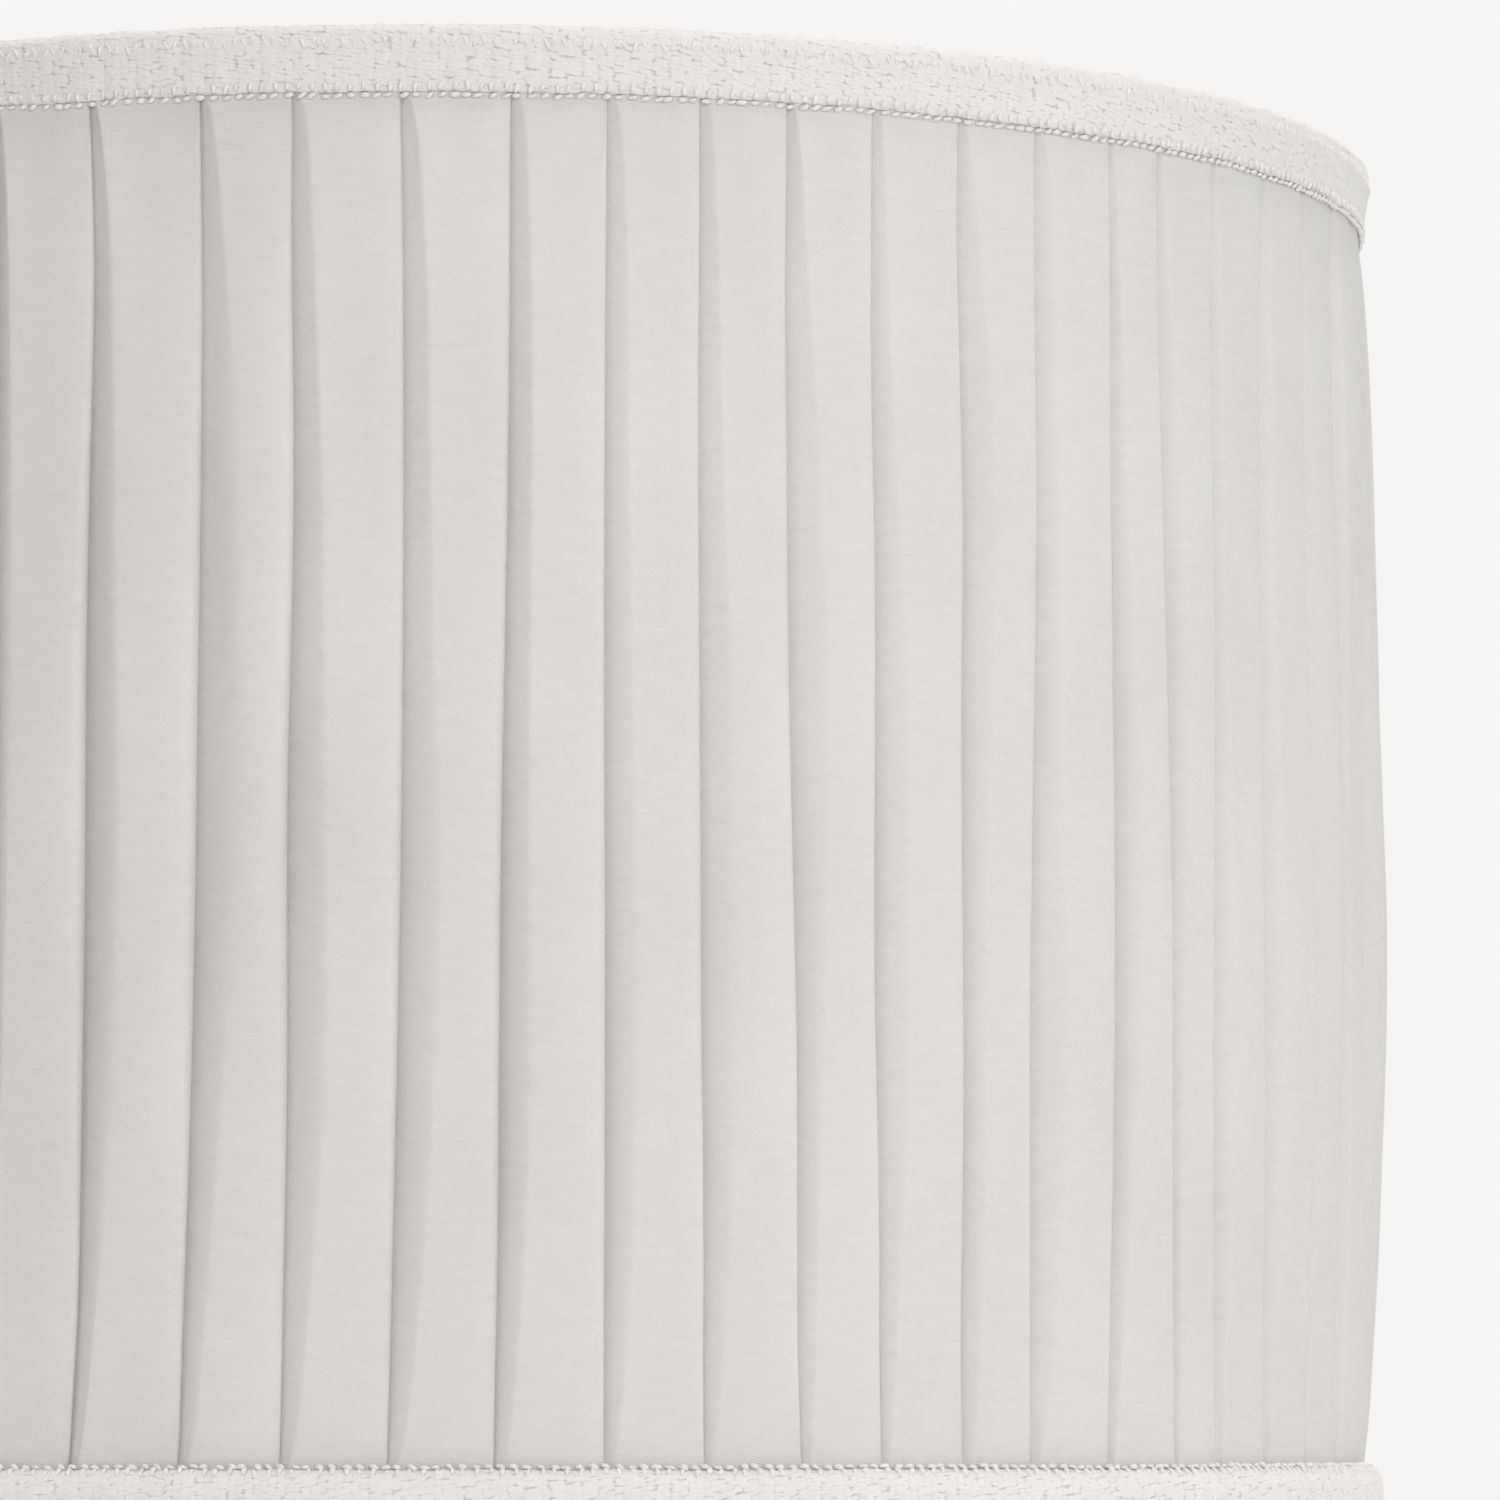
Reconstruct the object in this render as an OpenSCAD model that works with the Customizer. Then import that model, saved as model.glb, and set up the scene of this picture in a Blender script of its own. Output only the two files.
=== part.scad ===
// Pleated drum lamp shade: a wire frame with a recessed three-arm fitter, a cloth
// lining inside it, a knife-pleated cloth cover outside it, and a woven tape round
// each rim. The shade stands on its lower rim. The origin is at the centre of that
// rim's underside, +Z is up and the shade's axis is Z.

/* [Shade] */
// Outside diameter over the tape on the upper rim
shade_d = 300; // [200:5:450]
// Height from the underside of the lower rim to the top of the upper rim
shade_h = 220; // [150:5:350]

/* [Wire frame] */
// Wire diameter of the two rings
ring_wire_d = 4; // [3:0.5:6]
// Wire diameter of the upright struts
strut_wire_d = 2.5; // [2:0.5:3.5]
// Number of struts, which the list of nodes follows
strut_count = 6; // [6:1:6]

/* [Fitter] */
// Depth of the fitter ring's top face below the upper rim
fitter_drop = 35; // [20:1:60]
// Hole in the fitter ring
fitter_hole_d = 42; // [34:0.5:52]
// Width of the fitter ring's steel from its hole to its edge
fitter_rim_w = 9; // [6:0.5:14]
// Thickness of the fitter ring's steel
fitter_t = 1.5; // [1:0.1:3]
// Wire diameter of the fitter arms
arm_wire_d = 3; // [2:0.5:4]
// Length of an arm that stays level inside the upper ring
arm_outer_run = 15; // [8:1:30]
// Length of an arm that lies level up to the fitter ring's edge
arm_inner_run = 6; // [5:1:15]
// How far the wire's surface swells at a bend
bend_swell = 0.2; // [0.2:0.1:0.5]
// How far an arm's end reaches in under the fitter ring
arm_lap = 4; // [2:0.5:6]
// How far the welded wire sinks into the ring it lies against
weld_sink = 0.4; // [0.2:0.1:0.8]

/* [Reducer ring] */
// Bore for a lampholder with a small skirt
reducer_bore_d = 29; // [27:0.5:32]
// How far the flange reaches out over the fitter ring
reducer_flange_w = 4; // [2:0.5:5]
// Thickness of the flange
reducer_flange_t = 1.6; // [1:0.1:3]
// How far the spigot reaches below the fitter ring
reducer_spigot_below = 1.5; // [0.5:0.1:4]
// Gap all round between the spigot and the hole in the fitter ring
reducer_clearance = 0.1; // [0.05:0.05:0.3]
// Bevel on the outer edges of the reducer ring
reducer_bevel = 0.4; // [0.2:0.1:0.6]

/* [Cloth layers] */
// Thickness of the cotton tape wound round each ring
binding_t = 0.5; // [0.3:0.1:1]
// Thickness of the lining
lining_t = 0.4; // [0.3:0.1:1]
// Thickness of the stitched ends of the cover, where a pleat lies three deep
cover_end_t = 1.2; // [0.8:0.1:2]
// How far the inner face of the cover stands out at mid-height
cover_inner_bulge = 1.4; // [0.4:0.2:6]
// How much deeper the pleats are at mid-height than at their stitched ends
pleat_open = 1.8; // [0.4:0.2:5]
// Gap between the struts and the cover at the edges of the tapes
cover_strut_gap = 0.35; // [0.1:0.05:0.5]
// Part of a quarter turn that the cover's ends roll over each ring, in degrees
cover_roll = 45; // [30:5:60]
// Gap all round where an arm passes through the lining
slit_clearance = 0.3; // [0.2:0.1:1]

/* [Trim tapes] */
// Height of the tape on the outside of each rim
trim_h = 11; // [8:0.5:20]
// Thickness of the tape on the upper rim
trim_t = 1; // [0.6:0.1:2]
// Thickness of the fuller tape on the lower rim
lower_trim_t = 1.7; // [0.8:0.1:3]
// Thickness of the upper tape at its free edge
trim_edge_t = 0.8; // [0.4:0.1:1]
// Rounding of the rim's outer corner
rim_corner_r = 1.5; // [0.5:0.1:2]
// Flat end of the lower tape's free edge, where it meets the cover
lower_edge_t = 0.4; // [0.2:0.1:1]
// Gap between the tape's inner edge and the arms below it
trim_arm_gap = 0.35; // [0.2:0.05:0.8]

/* [Arm covers] */
// Width of the folded strip on each side of an arm
arm_cover_w = 6; // [4:0.5:10]
// Thickness of the folded strip
arm_cover_t = 0.9; // [0.5:0.1:2]
// Gap between the strip and the lining behind it
arm_cover_gap = 0.5; // [0.3:0.1:1]

/* [Hidden] */
$fn = 96;
ARM_COUNT = 3;
ARC_STEPS = 24;
CORNER_STEPS = 8;
CUT_MARGIN = 1;
FIRST_ARM_ANGLE = 90;

// Radii of the layers round each ring's wire, from the wire outwards
wire_r = ring_wire_d / 2;
binding_r = wire_r + binding_t;
lining_r = binding_r + lining_t;
cover_r = lining_r + cover_end_t;
// Radius of both rings, to the centre of the wire
ring_r = shade_d / 2 - trim_t - cover_r;
top_z = shade_h - trim_t - lining_r;
bottom_z = trim_t + lining_r;

// The cover's outer face at its rings, at the edge of the tapes and at mid-height
cover_ring_r = ring_r + cover_r;
cover_edge_r = ring_r + strut_wire_d / 2 + cover_strut_gap + cover_end_t;
cover_arc_h = shade_h - 2 * trim_h;

arm_r = arm_wire_d / 2;
bend_gap = arm_r / 3;
fitter_od = fitter_hole_d + 2 * fitter_rim_w;
fitter_top_z = shade_h - fitter_drop;
fitter_under_z = fitter_top_z - fitter_t;
arm_end_z = fitter_under_z - arm_r + weld_sink;
arm_start_r = ring_r - wire_r + weld_sink;
// The two bends in an arm, on the wire's centre line, as radius and height
arm_bend_1 = [arm_start_r - arm_outer_run, top_z];
arm_bend_2 = [fitter_od / 2 + arm_inner_run, arm_end_z];

spigot_r = fitter_hole_d / 2 - reducer_clearance;

// Angle round a ring, from outside, at which its tape's inner edge ends above the arms
trim_inner_end = 180 - asin((arm_r + trim_arm_gap) / lining_r);

// Points along an arc about centre, from one angle to another
function arc(centre, radius, from, to, steps = ARC_STEPS) = [
    for (i = [0 : steps])
        let (angle = from + (to - from) * i / steps)
        centre + radius * [cos(angle), sin(angle)]
];

// The same arc in chords that touch it from outside, so that they clear what it holds
function arc_round(centre, radius, from, to, steps = CORNER_STEPS) =
    arc(centre, radius / cos((to - from) / steps / 2), from, to, steps);

// The cover's outward bulge between the tapes, as an arc whose sagitta is given
function bulge_arc(end_r, sagitta) =
    let (
        radius = (pow(cover_arc_h / 2, 2) + pow(sagitta, 2)) / (2 * sagitta),
        sweep = asin(cover_arc_h / 2 / radius)
    )
    arc([end_r + sagitta - radius, shade_h / 2], radius, -sweep, sweep);

module ring(z) {
    translate([0, 0, z])
        rotate_extrude()
            translate([ring_r, 0])
                circle(wire_r);
}

module top_ring() {
    color("gainsboro") ring(top_z);
}

module bottom_ring() {
    color("gainsboro") ring(bottom_z);
}

// A strut stands between the two rings and its ends are coped to fit their wire
module strut(i) {
    color("gainsboro")
        difference() {
            rotate(360 / strut_count * (i - 1))
                translate([ring_r, 0, bottom_z + wire_r / 2])
                    cylinder(h = top_z - bottom_z - wire_r, d = strut_wire_d);
            ring(top_z);
            ring(bottom_z);
        }
}

module fitter_ring() {
    color("gainsboro")
        translate([0, 0, fitter_under_z])
            difference() {
                cylinder(h = fitter_t, d = fitter_od);
                translate([0, 0, -CUT_MARGIN])
                    cylinder(h = fitter_t + 2 * CUT_MARGIN, d = fitter_hole_d);
            }
}

// Turns what it holds to the direction of one arm, with the arm's plane along X
module at_arm(i) {
    rotate(FIRST_ARM_ANGLE + 360 / ARM_COUNT * (i - 1))
        children();
}

// A straight length of arm wire between two points in the arm's plane, cut short
// inside the bend at either end so that two lengths never cross
module arm_wire(from, to, short_from = bend_gap, short_to = bend_gap) {
    run = to - from;
    translate([from[0], 0, from[1]])
        rotate([0, atan2(run[0], run[1]), 0])
            translate([0, 0, short_from])
                cylinder(h = norm(run) - short_from - short_to, d = arm_wire_d);
}

// The wire swells a little where it is bent
module arm_bend(corner) {
    translate([corner[0], 0, corner[1]])
        sphere(arm_r + bend_swell);
}

module arm_shape() {
    arm_wire([arm_start_r, top_z], arm_bend_1, short_from = 0);
    arm_bend(arm_bend_1);
    arm_wire(arm_bend_1, arm_bend_2);
    arm_bend(arm_bend_2);
    arm_wire(arm_bend_2, [fitter_od / 2 - arm_lap, arm_end_z], short_to = 0);
}

module fitter_arm(i) {
    color("gainsboro")
        difference() {
            at_arm(i) arm_shape();
            ring(top_z);
            fitter_ring();
        }
}

// The reducer drops into the fitter ring's hole and hangs there by its flange
module reducer_ring() {
    flange_top_z = fitter_top_z + reducer_flange_t;
    spigot_z = fitter_under_z - reducer_spigot_below;
    flange_r = fitter_hole_d / 2 + reducer_flange_w;
    bore_r = reducer_bore_d / 2;
    color("white")
        rotate_extrude()
            polygon([
                [bore_r, spigot_z],
                [spigot_r - reducer_bevel, spigot_z],
                [spigot_r, spigot_z + reducer_bevel],
                [spigot_r, fitter_top_z],
                [flange_r, fitter_top_z],
                [flange_r, flange_top_z - reducer_bevel],
                [flange_r - reducer_bevel, flange_top_z],
                [bore_r, flange_top_z]
            ]);
}

// Level cuts of one radius through the cloth, where the arms leave the upper ring
module arm_openings(radius) {
    for (i = [1 : ARM_COUNT])
        at_arm(i)
            translate([ring_r - wire_r - arm_outer_run / 2, 0, top_z])
                rotate([0, 90, 0])
                    cylinder(h = arm_outer_run / 2 + wire_r / 2, r = radius);
}

module binding(z) {
    rotate_extrude()
        translate([ring_r, z])
            difference() {
                circle(binding_r);
                circle(wire_r);
            }
}

module strut_openings() {
    for (i = [1 : strut_count])
        rotate(360 / strut_count * (i - 1))
            translate([ring_r, 0, bottom_z])
                cylinder(h = top_z - bottom_z, d = strut_wire_d);
}

module top_ring_binding() {
    color("linen")
        difference() {
            binding(top_z);
            arm_openings(arm_r);
            strut_openings();
        }
}

module bottom_ring_binding() {
    color("linen")
        difference() {
            binding(bottom_z);
            strut_openings();
        }
}

// The lining's turn over one ring: half a tube, on the side that side points to
module lining_turn(z, side) {
    translate([ring_r, z])
        intersection() {
            difference() {
                circle(lining_r);
                circle(binding_r);
            }
            translate([-2 * lining_r, side > 0 ? 0 : -2 * lining_r])
                square([4 * lining_r, 2 * lining_r]);
        }
}

// One of the lining's two halves, which are joined by a seam behind two opposite struts
module lining(i) {
    half_size = shade_d / 2 + CUT_MARGIN;
    color("ivory")
        difference() {
            rotate_extrude()
                union() {
                    lining_turn(top_z, 1);
                    lining_turn(bottom_z, -1);
                    translate([ring_r - lining_r, bottom_z])
                        square([lining_t, top_z - bottom_z]);
                }
            arm_openings(arm_r + slit_clearance);
            rotate(180 * (i - 1))
                translate([-half_size, -half_size, -CUT_MARGIN])
                    cube([2 * half_size, half_size, shade_h + 2 * CUT_MARGIN]);
        }
}

// A folded strip that passes under an arm and up both sides of it, over the slit
module arm_cover(i) {
    outer_r = arm_r + arm_cover_w;
    strip_r = ring_r - lining_r - arm_cover_gap;
    strip_top = arm_r + trim_arm_gap;
    color("ivory")
        at_arm(i)
            translate([strip_r - arm_cover_t, 0, top_z])
                rotate([90, 0, 90])
                    linear_extrude(arm_cover_t)
                        difference() {
                            union() {
                                circle(outer_r);
                                translate([-outer_r, 0])
                                    square([2 * outer_r, strip_top]);
                            }
                            circle(arm_r);
                            translate([-outer_r - CUT_MARGIN, strip_top])
                                square([2 * (outer_r + CUT_MARGIN), outer_r]);
                        }
}

// The cover is stitched over both rings and its pleats open and bulge between them
module pleated_cover() {
    color("antiquewhite")
        rotate_extrude()
            polygon([
                each arc([ring_r, bottom_z], cover_r, -cover_roll, 0, CORNER_STEPS),
                each bulge_arc(cover_edge_r, cover_inner_bulge + pleat_open),
                each arc([ring_r, top_z], cover_r, 0, cover_roll, CORNER_STEPS),
                each arc_round([ring_r, top_z], lining_r, cover_roll, 0),
                each reversed(bulge_arc(cover_edge_r - cover_end_t, cover_inner_bulge)),
                each arc_round([ring_r, bottom_z], lining_r, 0, -cover_roll)
            ]);
}

function reversed(points) = [for (i = [len(points) - 1 : -1 : 0]) points[i]];

// A tape's inner side, from its free edge over the cover and the lining
function trim_lay() = [
    [cover_edge_r, shade_h - trim_h],
    each arc_round([ring_r, top_z], cover_r, 0, cover_roll),
    each arc_round([ring_r, top_z], lining_r, cover_roll, trim_inner_end)
];

module top_trim() {
    corner = [shade_d / 2 - rim_corner_r, shade_h - rim_corner_r];
    color("whitesmoke")
        rotate_extrude()
            polygon([
                [cover_edge_r + trim_edge_t, shade_h - trim_h],
                each arc(corner, rim_corner_r, 0, 90, CORNER_STEPS),
                each arc([ring_r, top_z], lining_r + trim_t, 90, trim_inner_end, CORNER_STEPS),
                each reversed(trim_lay())
            ]);
}

// The lower tape is fuller, with a round upper edge, and is otherwise the same upside down
module bottom_trim() {
    outer_r = shade_d / 2 - trim_t + lower_trim_t;
    corner = [outer_r - rim_corner_r, shade_h - rim_corner_r];
    lower_edge_r = outer_r - cover_edge_r - lower_edge_t;
    edge = [outer_r - lower_edge_r, shade_h - trim_h + lower_edge_r];
    color("whitesmoke")
        translate([0, 0, shade_h])
            mirror([0, 0, 1])
                rotate_extrude()
                    polygon([
                        each arc(edge, lower_edge_r, -90, 0, CORNER_STEPS),
                        each arc(corner, rim_corner_r, 0, 90, CORNER_STEPS),
                        each arc(
                            [ring_r, top_z], lining_r + trim_t, 90, trim_inner_end, CORNER_STEPS
                        ),
                        each reversed(trim_lay())
                    ]);
}

top_ring();
bottom_ring();
strut(1);  // strut_1
strut(2);  // strut_2
strut(3);  // strut_3
strut(4);  // strut_4
strut(5);  // strut_5
strut(6);  // strut_6
fitter_ring();
fitter_arm(1);  // fitter_arm_1
fitter_arm(2);  // fitter_arm_2
fitter_arm(3);  // fitter_arm_3
reducer_ring();
top_ring_binding();
bottom_ring_binding();
lining(1);  // lining_1
lining(2);  // lining_2
arm_cover(1);  // arm_cover_1
arm_cover(2);  // arm_cover_2
arm_cover(3);  // arm_cover_3
pleated_cover();
top_trim();
bottom_trim();
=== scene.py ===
"""Pleated drum lamp shade: its cloth, tapes and finishes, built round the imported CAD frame."""
import math

import bpy
import numpy as np
from mathutils import Matrix, Vector

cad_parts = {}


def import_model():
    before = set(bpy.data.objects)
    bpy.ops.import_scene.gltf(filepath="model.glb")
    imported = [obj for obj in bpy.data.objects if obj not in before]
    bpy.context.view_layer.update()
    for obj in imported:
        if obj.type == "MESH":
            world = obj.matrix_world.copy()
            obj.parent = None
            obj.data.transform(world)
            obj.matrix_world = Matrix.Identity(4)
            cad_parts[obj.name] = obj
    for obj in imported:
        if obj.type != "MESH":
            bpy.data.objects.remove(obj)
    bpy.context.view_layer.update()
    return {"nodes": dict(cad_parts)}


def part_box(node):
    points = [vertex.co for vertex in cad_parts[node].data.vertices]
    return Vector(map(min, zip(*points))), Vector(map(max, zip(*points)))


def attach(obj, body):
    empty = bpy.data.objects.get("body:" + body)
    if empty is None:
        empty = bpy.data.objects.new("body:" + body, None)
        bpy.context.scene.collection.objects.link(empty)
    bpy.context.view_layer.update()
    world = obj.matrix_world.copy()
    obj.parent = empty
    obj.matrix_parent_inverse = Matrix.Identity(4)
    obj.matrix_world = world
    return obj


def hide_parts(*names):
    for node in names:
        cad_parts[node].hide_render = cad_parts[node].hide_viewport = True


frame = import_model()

MM = 0.001
SEED = 11
BODY = "shade"


def low(node):
    return Vector(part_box(node)[0])


def high(node):
    return Vector(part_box(node)[1])


SHADE_R = high("top_trim").x
SHADE_H = high("top_trim").z
FLOOR_Z = low("bottom_trim").z
LOWER_R = high("bottom_trim").x
TRIM_LOW = low("top_trim").z
TRIM_HIGH = high("bottom_trim").z
WIRE_R = (high("top_ring").z - low("top_ring").z) / 2
RING_R = high("top_ring").x - WIRE_R
TOP_Z = high("top_ring").z - WIRE_R
BOTTOM_Z = low("bottom_ring").z + WIRE_R
LINING_R = high("lining_1").z - TOP_Z
ARM_R = WIRE_R * 0.75
BINDING_R = high("top_ring_binding").z - TOP_Z
LINING_WALL_R = RING_R - LINING_R

ARM_ANGLES = [math.radians(a) for a in (90, 210, 330)]

# ------------------------------------------------------------------ pleats, all lengths in mm
PLEATS = 64
UNDERLAP = 9.0
# Depth, band width and fold radius of a pleat pressed flat under a tape, and what each gains when
# the pleat stands fully open at mid-height
FLAT_DEPTH, OPEN_DEPTH = 1.15, 3.35
FLAT_BAND, OPEN_BAND = 1.25, 3.8
FLAT_FOLD_R, OPEN_FOLD_R = 0.2, 1.55
OPENING_POWER = 0.52
BAND_SOFTNESS = 0.14
# The line that the pleats' crowns follow: from tape to tape with a bulge, then out over the rings
CROWN_LOW_R = 147.6
CROWN_HIGH_R = 148.2
CROWN_BULGE = 3.25
CROWN_RING_R = 148.95
RING_RISE = 5.0
# Direction of the folds at the front, in radians from it to the right, at the three heights FOLD_Z:
# measured on the photo and rounded, so that wide and narrow pleats follow each other as they do there
FOLD_Z = [18, 110, 200]
FRONT_FOLDS = [
    (-0.490, -0.470, -0.474), (-0.381, -0.362, -0.367), (-0.267, -0.249, -0.252),
    (-0.166, -0.157, -0.159), (-0.060, -0.048, -0.051), (0.043, 0.050, 0.056),
    (0.150, 0.148, 0.151), (0.250, 0.244, 0.245), (0.350, 0.336, 0.336), (0.438, 0.426, 0.429),
    (0.533, 0.526, 0.529), (0.616, 0.611, 0.624), (0.722, 0.718, 0.727), (0.825, 0.799, 0.803),
    (0.899, 0.879, 0.896), (0.995, 0.976, 1.000),
]


def noise_line(rng, waves, amount, longest, shortest):
    """A smooth random function of one length, as a sum of sines."""
    lengths = np.exp(rng.uniform(np.log(shortest), np.log(longest), waves))
    phases = rng.uniform(0, 2 * np.pi, waves)
    heights = rng.normal(0, 1, waves) * amount / math.sqrt(waves / 2)

    def line(x):
        x = np.asarray(x, float)
        return sum(h * np.sin(2 * np.pi * x / l + p) for h, l, p in zip(heights, lengths, phases))

    return line


def periodic_noise(rng, waves, amount, fewest, most):
    """A smooth random function of the angle round the shade that closes on itself."""
    counts = np.round(np.exp(rng.uniform(np.log(fewest), np.log(most), waves)))
    phases = rng.uniform(0, 2 * np.pi, waves)
    heights = rng.normal(0, 1, waves) * amount / math.sqrt(waves / 2)

    def line(a):
        return sum(h * np.sin(c * a + p) for h, c, p in zip(heights, counts, phases))

    return line


def noise_plane(rng, waves, amount, longest, shortest, slant=1.0):
    """A smooth random function of two lengths, as a sum of sines in all directions."""
    lengths = np.exp(rng.uniform(np.log(shortest), np.log(longest), waves))
    turns = rng.uniform(0, np.pi, waves)
    phases = rng.uniform(0, 2 * np.pi, waves)
    heights = rng.normal(0, 1, waves) * amount / math.sqrt(waves / 2)

    def plane(x, y):
        total = 0.0
        for h, l, t, p in zip(heights, lengths, turns, phases):
            total = total + h * np.sin(2 * np.pi * (x * np.cos(t) + y * slant * np.sin(t)) / l + p)
        return total

    return plane


def smooth(x):
    x = np.clip(x, 0, 1)
    return x * x * (3 - 2 * x)


# ------------------------------------------------------------------ mesh helpers
def new_mesh(name, points, faces, uvs=None, body=BODY, flat=False):
    """An object from points, faces and one UV pair a point or a corner, riding on its body."""
    mesh = bpy.data.meshes.new(name)
    mesh.from_pydata([tuple(p) for p in points], [], [tuple(f) for f in faces])
    if uvs is not None:
        layer = mesh.uv_layers.new(name="Cloth")
        corner = np.zeros(len(mesh.loops), dtype=np.int32)
        mesh.loops.foreach_get("vertex_index", corner)
        uvs = np.asarray(uvs, dtype=np.float32)
        per_corner = uvs[corner] if len(uvs) == len(points) else uvs
        layer.uv.foreach_set("vector", per_corner.ravel())
    if not flat:
        mesh.polygons.foreach_set("use_smooth", np.ones(len(mesh.polygons), dtype=bool))
    mesh.update()
    obj = bpy.data.objects.new(name, mesh)
    bpy.context.scene.collection.objects.link(obj)
    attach(obj, body)
    return obj


def grid_faces(rows, columns, closed_u=True, closed_v=False):
    """Quads of a grid whose points run column by column along each row."""
    faces = []
    for j in range(rows if closed_v else rows - 1):
        nj = (j + 1) % rows
        for i in range(columns if closed_u else columns - 1):
            ni = (i + 1) % columns
            faces.append((j * columns + i, j * columns + ni, nj * columns + ni, nj * columns + i))
    return faces


def closed_uvs(faces, u, v, u_span, v_span=0.0):
    """Corner UVs of a grid that closes on itself, from the u of each column and the v of each row.

    Where a face joins the last column or row to the first, the first one's UVs run on past the end.
    """
    columns = len(u)
    out = []
    for f in faces:
        rows_of = [k // columns for k in f]
        columns_of = [k % columns for k in f]
        turns_u = max(columns_of) - min(columns_of) > 1
        turns_v = max(rows_of) - min(rows_of) > 1
        for j, c in zip(rows_of, columns_of):
            extra_u = u_span if turns_u and c == 0 else 0.0
            extra_v = v_span if turns_v and j == 0 else 0.0
            out.append((u[c] + extra_u, v[j] + extra_v))
    return out


def tube(path, radius, sides, closed=False, start=0):
    """Points and quads of a round tube along a path of points."""
    path = np.asarray(path, float)
    n = len(path)
    if closed:
        tangent = np.roll(path, -1, 0) - np.roll(path, 1, 0)
    else:
        tangent = np.gradient(path, axis=0)
    tangent /= np.linalg.norm(tangent, axis=1)[:, None]
    side = np.zeros_like(path)
    ref = np.array([0.0, 0.0, 1.0]) if abs(tangent[0][2]) < 0.9 else np.array([1.0, 0.0, 0.0])
    for i in range(n):
        s = np.cross(tangent[i], ref)
        s /= np.linalg.norm(s)
        side[i] = s
        ref = np.cross(s, tangent[i])
    up = np.cross(side, tangent)
    radii = np.broadcast_to(radius, (n,))
    turn = 2 * np.pi * np.arange(sides) / sides
    points = (path[:, None] + radii[:, None, None] * (
        side[:, None] * np.cos(turn)[None, :, None] + up[:, None] * np.sin(turn)[None, :, None]
    )).reshape(-1, 3)
    faces = [tuple(start + k for k in f) for f in grid_faces(n, sides, True, closed)]
    if not closed:
        faces.append(tuple(start + k for k in range(sides - 1, -1, -1)))
        faces.append(tuple(start + (n - 1) * sides + k for k in range(sides)))
    return points, faces


# ------------------------------------------------------------------ material helpers
class Nodes:
    """Short names for building one node material."""

    def __init__(self, name, roughness, **sockets):
        self.mat = bpy.data.materials.new(name)
        self.mat.use_nodes = True
        self.tree = self.mat.node_tree
        self.shader = self.tree.nodes["Principled BSDF"]
        self.shader.inputs["Roughness"].default_value = roughness
        for key, value in sockets.items():
            self.shader.inputs[key.replace("_", " ")].default_value = value

    def add(self, kind, **values):
        node = self.tree.nodes.new(kind)
        inputs = values.pop("inputs", {})
        for key, value in values.items():
            setattr(node, key, value)
        for key, value in inputs.items():
            if isinstance(value, bpy.types.NodeSocket):
                self.tree.links.new(value, node.inputs[key])
            else:
                node.inputs[key].default_value = value
        return node

    def math(self, operation, a, b=0.0, c=0.0):
        inputs = {0: a, 1: b}
        if operation in ("MULTIPLY_ADD", "SMOOTH_MIN", "SMOOTH_MAX", "WRAP"):
            inputs[2] = c
        return self.add("ShaderNodeMath", operation=operation, inputs=inputs).outputs[0]

    def uv(self):
        uv = self.add("ShaderNodeUVMap", uv_map="Cloth").outputs[0]
        parts = self.add("ShaderNodeSeparateXYZ", inputs={0: uv})
        return uv, parts.outputs[0], parts.outputs[1]

    def place(self):
        return self.add("ShaderNodeTexCoord").outputs["Object"]

    def noise(self, vector, scale, detail=2.0, roughness=0.5, stretch=(1, 1, 1)):
        mapped = self.add("ShaderNodeMapping", inputs={"Vector": vector, "Scale": stretch})
        return self.add("ShaderNodeTexNoise", inputs={
            "Vector": mapped.outputs[0], "Scale": scale, "Detail": detail, "Roughness": roughness,
        }).outputs["Fac"]

    def ramp(self, factor, *stops):
        """stops are (place, colour)."""
        node = self.add("ShaderNodeValToRGB", inputs={0: factor})
        ramp = node.color_ramp
        while len(ramp.elements) < len(stops):
            ramp.elements.new(0.5)
        for element, (at, colour) in zip(ramp.elements, stops):
            element.position = at
            element.color = (*colour, 1)
        return node.outputs[0]

    def mix(self, factor, a, b, blend="MIX"):
        node = self.add("ShaderNodeMix", data_type="RGBA", blend_type=blend)
        for socket, value in ((node.inputs[0], factor), (node.inputs[6], a), (node.inputs[7], b)):
            if isinstance(value, bpy.types.NodeSocket):
                self.tree.links.new(value, socket)
            elif isinstance(value, tuple):
                socket.default_value = (*value, 1) if len(value) == 3 else value
            else:
                socket.default_value = value
        return node.outputs[2]

    def bump(self, height, distance, strength=1.0, below=None):
        inputs = {"Height": height, "Distance": distance, "Strength": strength}
        if below is not None:
            inputs["Normal"] = below
        return self.add("ShaderNodeBump", inputs=inputs).outputs[0]

    def let_through(self, colour, normal, share):
        """Cloth passes some light: part of the shader scatters it out of the far side."""
        thin = self.add("ShaderNodeBsdfTranslucent", inputs={"Color": colour, "Normal": normal})
        both = self.add("ShaderNodeMixShader", inputs={
            0: share, 1: self.shader.outputs[0], 2: thin.outputs[0]})
        out = self.tree.nodes["Material Output"]
        self.tree.links.new(both.outputs[0], out.inputs[0])

    def finish(self, colour, normal=None, roughness=None):
        self.tree.links.new(colour, self.shader.inputs["Base Color"])
        if normal is not None:
            self.tree.links.new(normal, self.shader.inputs["Normal"])
        if roughness is not None:
            self.tree.links.new(roughness, self.shader.inputs["Roughness"])
        return self.mat


def tint(colour, by):
    return tuple(min(1.0, c * by) for c in colour)


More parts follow.
